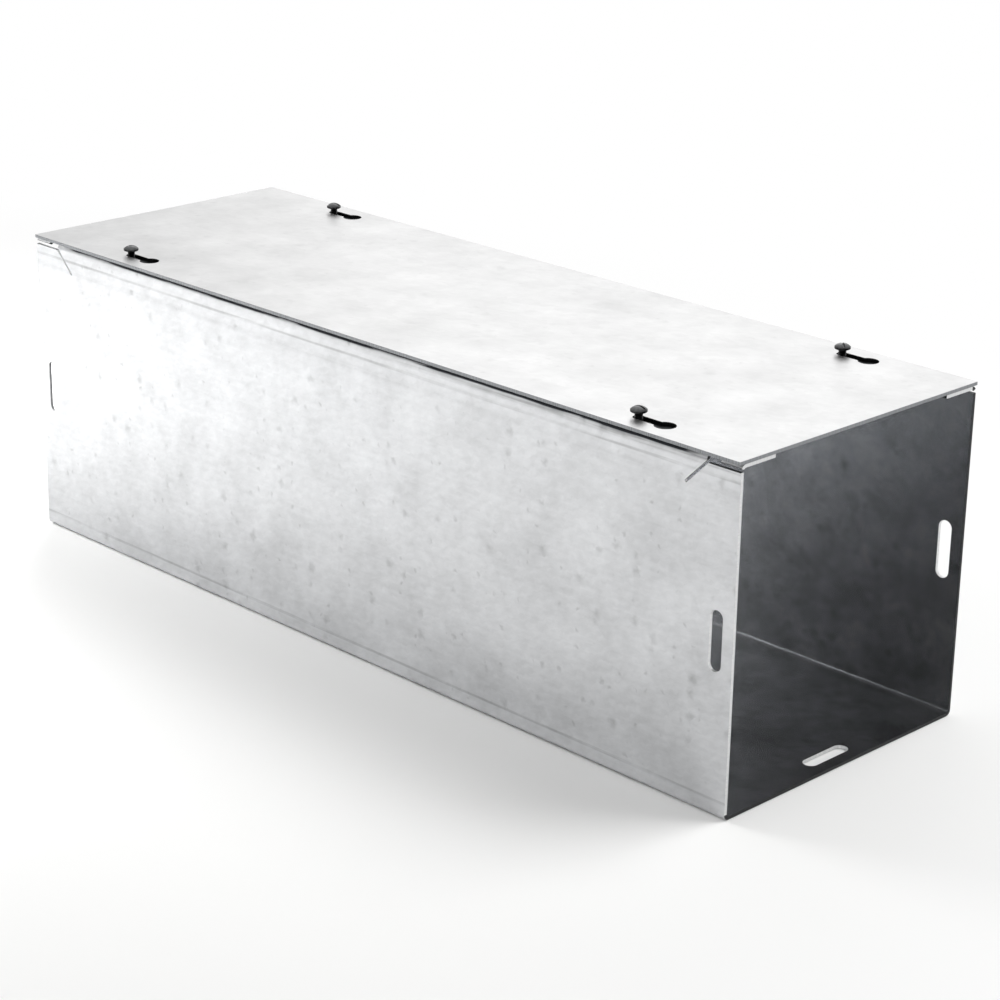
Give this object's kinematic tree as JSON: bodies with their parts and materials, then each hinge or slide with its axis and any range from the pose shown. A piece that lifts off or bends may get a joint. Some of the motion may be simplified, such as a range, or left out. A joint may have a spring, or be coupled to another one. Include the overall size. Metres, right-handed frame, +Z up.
{
  "type": "screw cover wireway",
  "caption": "Straight open-ended sheet steel trough for cables, with inward top flanges, joining slots at its ends and a flat cover that hangs by keyholes on screws.",
  "frame": {"origin": "the middle of the underside", "axes": "+X along the section, front wall at -Y, +Z up through the cover"},
  "size_m": [0.6096, 0.2032, 0.2097],
  "materials": {
    "galvanised_sheet": "hot-dip galvanised steel sheet, satin grey with fine faint spangle",
    "zinc_plated_screw": "zinc plated steel, dulled"
  },
  "bodies": {
    "trough": {"trough": "galvanised_sheet", "cover_screw_front_left": "zinc_plated_screw", "cover_screw_front_right": "zinc_plated_screw", "cover_screw_back_left": "zinc_plated_screw", "cover_screw_back_right": "zinc_plated_screw"},
    "cover": {"cover": "galvanised_sheet"}
  },
  "joints": [
    {"name": "cover_slide", "type": "slide", "parent": "trough", "child": "cover", "axis": [1, 0, 0], "range_m": [-0.019, 0]}
  ]
}
